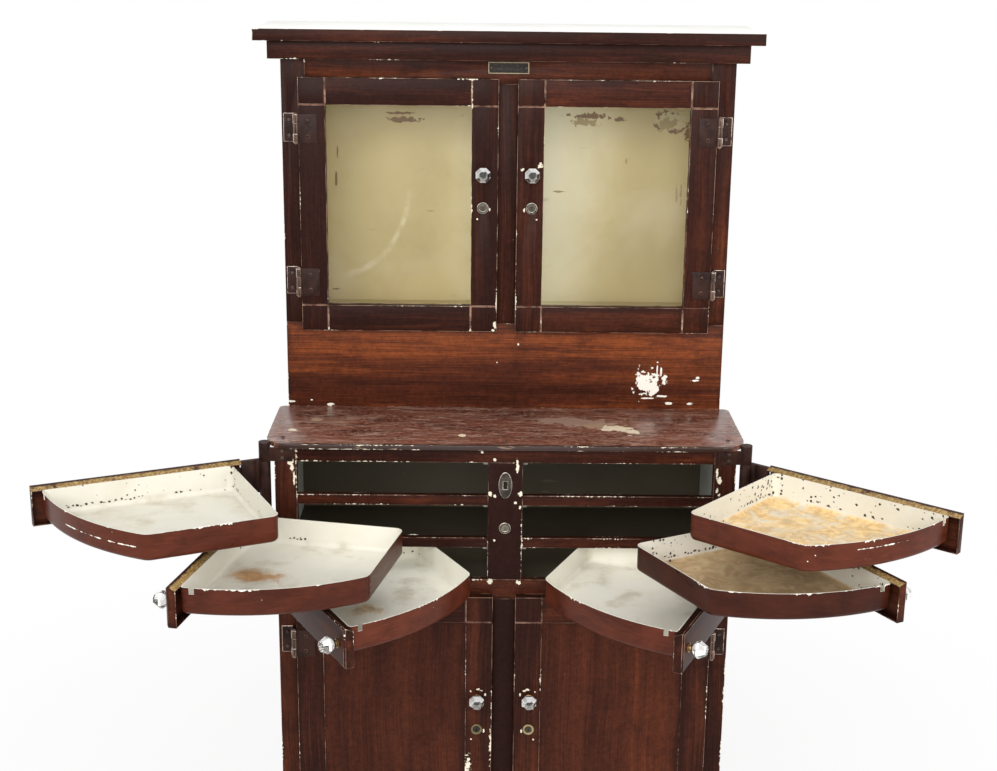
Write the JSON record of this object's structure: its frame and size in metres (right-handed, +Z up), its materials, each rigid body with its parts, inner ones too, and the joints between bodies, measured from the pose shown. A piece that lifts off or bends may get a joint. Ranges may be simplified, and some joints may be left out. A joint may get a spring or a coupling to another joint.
{
  "type": "dental cabinet",
  "caption": "Dental cabinet: glazed upper cupboard on a base with a worktop, swing-out instrument trays on side rods and a two-door lower cupboard.",
  "frame": {"origin": "on the floor, under the middle of the whole outline with the trays as pictured: 21 mm behind the base's front plane, and 22 mm left of the cabinet's centre line", "axes": "+Z up, the front of the cabinet faces -Y, +X to the right of someone facing it"},
  "size_m": [1.4433, 0.7636, 1.5034],
  "materials": {
    "grained_paint": "mahogany-grained gloss paint, chipped to a cream ground",
    "inside_paint": "aged cream paint",
    "worktop_paint": "glossy red-brown mottled paint",
    "tray_enamel": "white enamel inside, red-brown outside",
    "hinge_metal": "brown paint worn to bare steel on the edges",
    "lock_metal": "dull nickel plate over brass",
    "fixing_steel": "dull darkened steel",
    "pane_glass": "clear flat glass",
    "knob_glass": "clear faceted glass"
  },
  "bodies": {
    "cabinet": {"base_decks": "inside_paint", "base_feet": "grained_paint", "base_front_frame": "grained_paint", "base_wall_panels": "grained_paint", "cornice": "grained_paint", "frame_screws": "fixing_steel", "front_plates": "lock_metal", "hinge_frame_leaves": "hinge_metal", "hutch_decks": "inside_paint", "hutch_front_frame": "grained_paint", "hutch_wall_panels": "grained_paint", "pivot_brackets": "hinge_metal", "pivot_rods": "hinge_metal", "tray_catches": "fixing_steel", "worktop": "worktop_paint"},
    "left_top_tray": {"left_top_tray_front": "grained_paint", "left_top_tray_hinge": "hinge_metal", "left_top_tray_knob": "knob_glass", "left_top_tray_pan": "tray_enamel"},
    "left_middle_tray": {"left_middle_tray_front": "grained_paint", "left_middle_tray_hinge": "hinge_metal", "left_middle_tray_knob": "knob_glass", "left_middle_tray_pan": "tray_enamel"},
    "left_bottom_tray": {"left_bottom_tray_front": "grained_paint", "left_bottom_tray_hinge": "hinge_metal", "left_bottom_tray_knob": "knob_glass", "left_bottom_tray_pan": "tray_enamel"},
    "right_top_tray": {"right_top_tray_front": "grained_paint", "right_top_tray_hinge": "hinge_metal", "right_top_tray_knob": "knob_glass", "right_top_tray_pan": "tray_enamel"},
    "right_middle_tray": {"right_middle_tray_front": "grained_paint", "right_middle_tray_hinge": "hinge_metal", "right_middle_tray_knob": "knob_glass", "right_middle_tray_pan": "tray_enamel"},
    "right_bottom_tray": {"right_bottom_tray_front": "grained_paint", "right_bottom_tray_hinge": "hinge_metal", "right_bottom_tray_knob": "knob_glass", "right_bottom_tray_pan": "tray_enamel"},
    "upper_left_door": {"upper_left_door_fittings": "hinge_metal", "upper_left_door_frame": "grained_paint", "upper_left_door_glass": "pane_glass", "upper_left_door_knob": "knob_glass"},
    "upper_left_lock_plug_body": {"upper_left_lock_plug": "lock_metal"},
    "upper_right_door": {"upper_right_door_fittings": "hinge_metal", "upper_right_door_frame": "grained_paint", "upper_right_door_glass": "pane_glass", "upper_right_door_knob": "knob_glass"},
    "upper_right_lock_plug_body": {"upper_right_lock_plug": "lock_metal"},
    "lower_left_door": {"lower_left_door_fittings": "hinge_metal", "lower_left_door_frame": "grained_paint", "lower_left_door_knob": "knob_glass", "lower_left_door_panel": "grained_paint"},
    "lower_left_lock_plug_body": {"lower_left_lock_plug": "lock_metal"},
    "lower_right_door": {"lower_right_door_fittings": "hinge_metal", "lower_right_door_frame": "grained_paint", "lower_right_door_knob": "knob_glass", "lower_right_door_panel": "grained_paint"},
    "lower_right_lock_plug_body": {"lower_right_lock_plug": "lock_metal"},
    "mullion_lock_plug_body": {"mullion_lock_plug": "lock_metal"}
  },
  "joints": [
    {"name": "left_top_tray_swing", "type": "hinge", "parent": "cabinet", "child": "left_top_tray", "pos_m": [-0.375, -0.0184, 0.78825], "axis": [0, 0, -1], "range_deg": [-155.3, 24.7]},
    {"name": "left_middle_tray_swing", "type": "hinge", "parent": "cabinet", "child": "left_middle_tray", "pos_m": [-0.375, -0.0184, 0.71345], "axis": [0, 0, -1], "range_deg": [-102.3, 77.7]},
    {"name": "left_bottom_tray_swing", "type": "hinge", "parent": "cabinet", "child": "left_bottom_tray", "pos_m": [-0.375, -0.0184, 0.63865], "axis": [0, 0, -1], "range_deg": [-62.5, 117.5]},
    {"name": "right_top_tray_swing", "type": "hinge", "parent": "cabinet", "child": "right_top_tray", "pos_m": [0.419, -0.0184, 0.78825], "axis": [0, 0, 1], "range_deg": [-139.2, 40.8]},
    {"name": "right_middle_tray_swing", "type": "hinge", "parent": "cabinet", "child": "right_middle_tray", "pos_m": [0.419, -0.0184, 0.71345], "axis": [0, 0, 1], "range_deg": [-118, 62]},
    {"name": "right_bottom_tray_swing", "type": "hinge", "parent": "cabinet", "child": "right_bottom_tray", "pos_m": [0.419, -0.0184, 0.63865], "axis": [0, 0, 1], "range_deg": [-65.7, 114.3]},
    {"name": "upper_left_door_swing", "type": "hinge", "parent": "cabinet", "child": "upper_left_door", "pos_m": [-0.333, 0.1682, 1.208], "axis": [0, 0, -1], "range_deg": [0, 170]},
    {"name": "upper_left_lock_turn", "type": "hinge", "parent": "upper_left_door", "child": "upper_left_lock_plug_body", "pos_m": [-0.0195, 0.1702, 1.208], "axis": [0, -1, 0], "range_deg": [0, 90]},
    {"name": "upper_right_door_swing", "type": "hinge", "parent": "cabinet", "child": "upper_right_door", "pos_m": [0.377, 0.1682, 1.208], "axis": [0, 0, 1], "range_deg": [0, 170]},
    {"name": "upper_right_lock_turn", "type": "hinge", "parent": "upper_right_door", "child": "upper_right_lock_plug_body", "pos_m": [0.0635, 0.1702, 1.208], "axis": [0, 1, 0], "range_deg": [0, 90]},
    {"name": "lower_left_door_swing", "type": "hinge", "parent": "cabinet", "child": "lower_left_door", "pos_m": [-0.331, -0.0418, 0.34095], "axis": [0, 0, -1], "range_deg": [0, 170]},
    {"name": "lower_left_lock_turn", "type": "hinge", "parent": "lower_left_door", "child": "lower_left_lock_plug_body", "pos_m": [-0.0225, -0.0398, 0.34095], "axis": [0, -1, 0], "range_deg": [0, 90]},
    {"name": "lower_right_door_swing", "type": "hinge", "parent": "cabinet", "child": "lower_right_door", "pos_m": [0.375, -0.0418, 0.34095], "axis": [0, 0, 1], "range_deg": [0, 170]},
    {"name": "lower_right_lock_turn", "type": "hinge", "parent": "lower_right_door", "child": "lower_right_lock_plug_body", "pos_m": [0.0665, -0.0398, 0.34095], "axis": [0, 1, 0], "range_deg": [0, 90]},
    {"name": "mullion_lock_turn", "type": "hinge", "parent": "cabinet", "child": "mullion_lock_plug_body", "pos_m": [0.022, -0.021, 0.7025], "axis": [0, 1, 0], "range_deg": [0, 90]}
  ]
}
